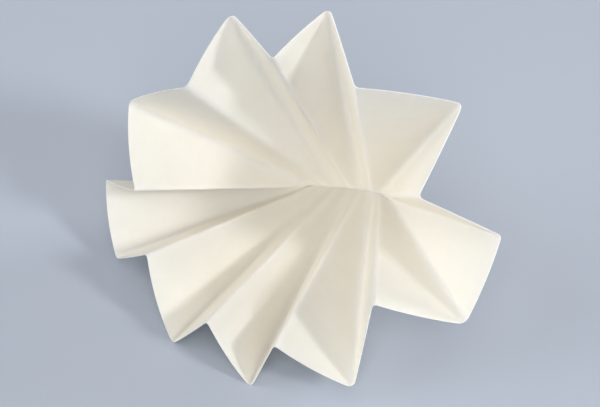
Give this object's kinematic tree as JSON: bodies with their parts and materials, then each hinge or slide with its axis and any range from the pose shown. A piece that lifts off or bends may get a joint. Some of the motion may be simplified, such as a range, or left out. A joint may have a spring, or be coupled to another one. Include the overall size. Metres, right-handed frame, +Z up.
{
  "type": "filter paper",
  "caption": "Fluted filter paper: a round sheet folded in half, pleated like a fan and opened to a ribbed cone, lying on its side.",
  "frame": {"origin": "on the table, under the middle of the part's bounding box", "axes": "+Z up off the table, the mouth opens towards -Y and up, the half fold runs roughly along X"},
  "size_m": [0.103, 0.0756, 0.0745],
  "materials": {
    "paper": "matt, warm white, soft fibrous"
  },
  "bodies": {
    "root": {"fluted_sheet": "paper"}
  },
  "joints": []
}
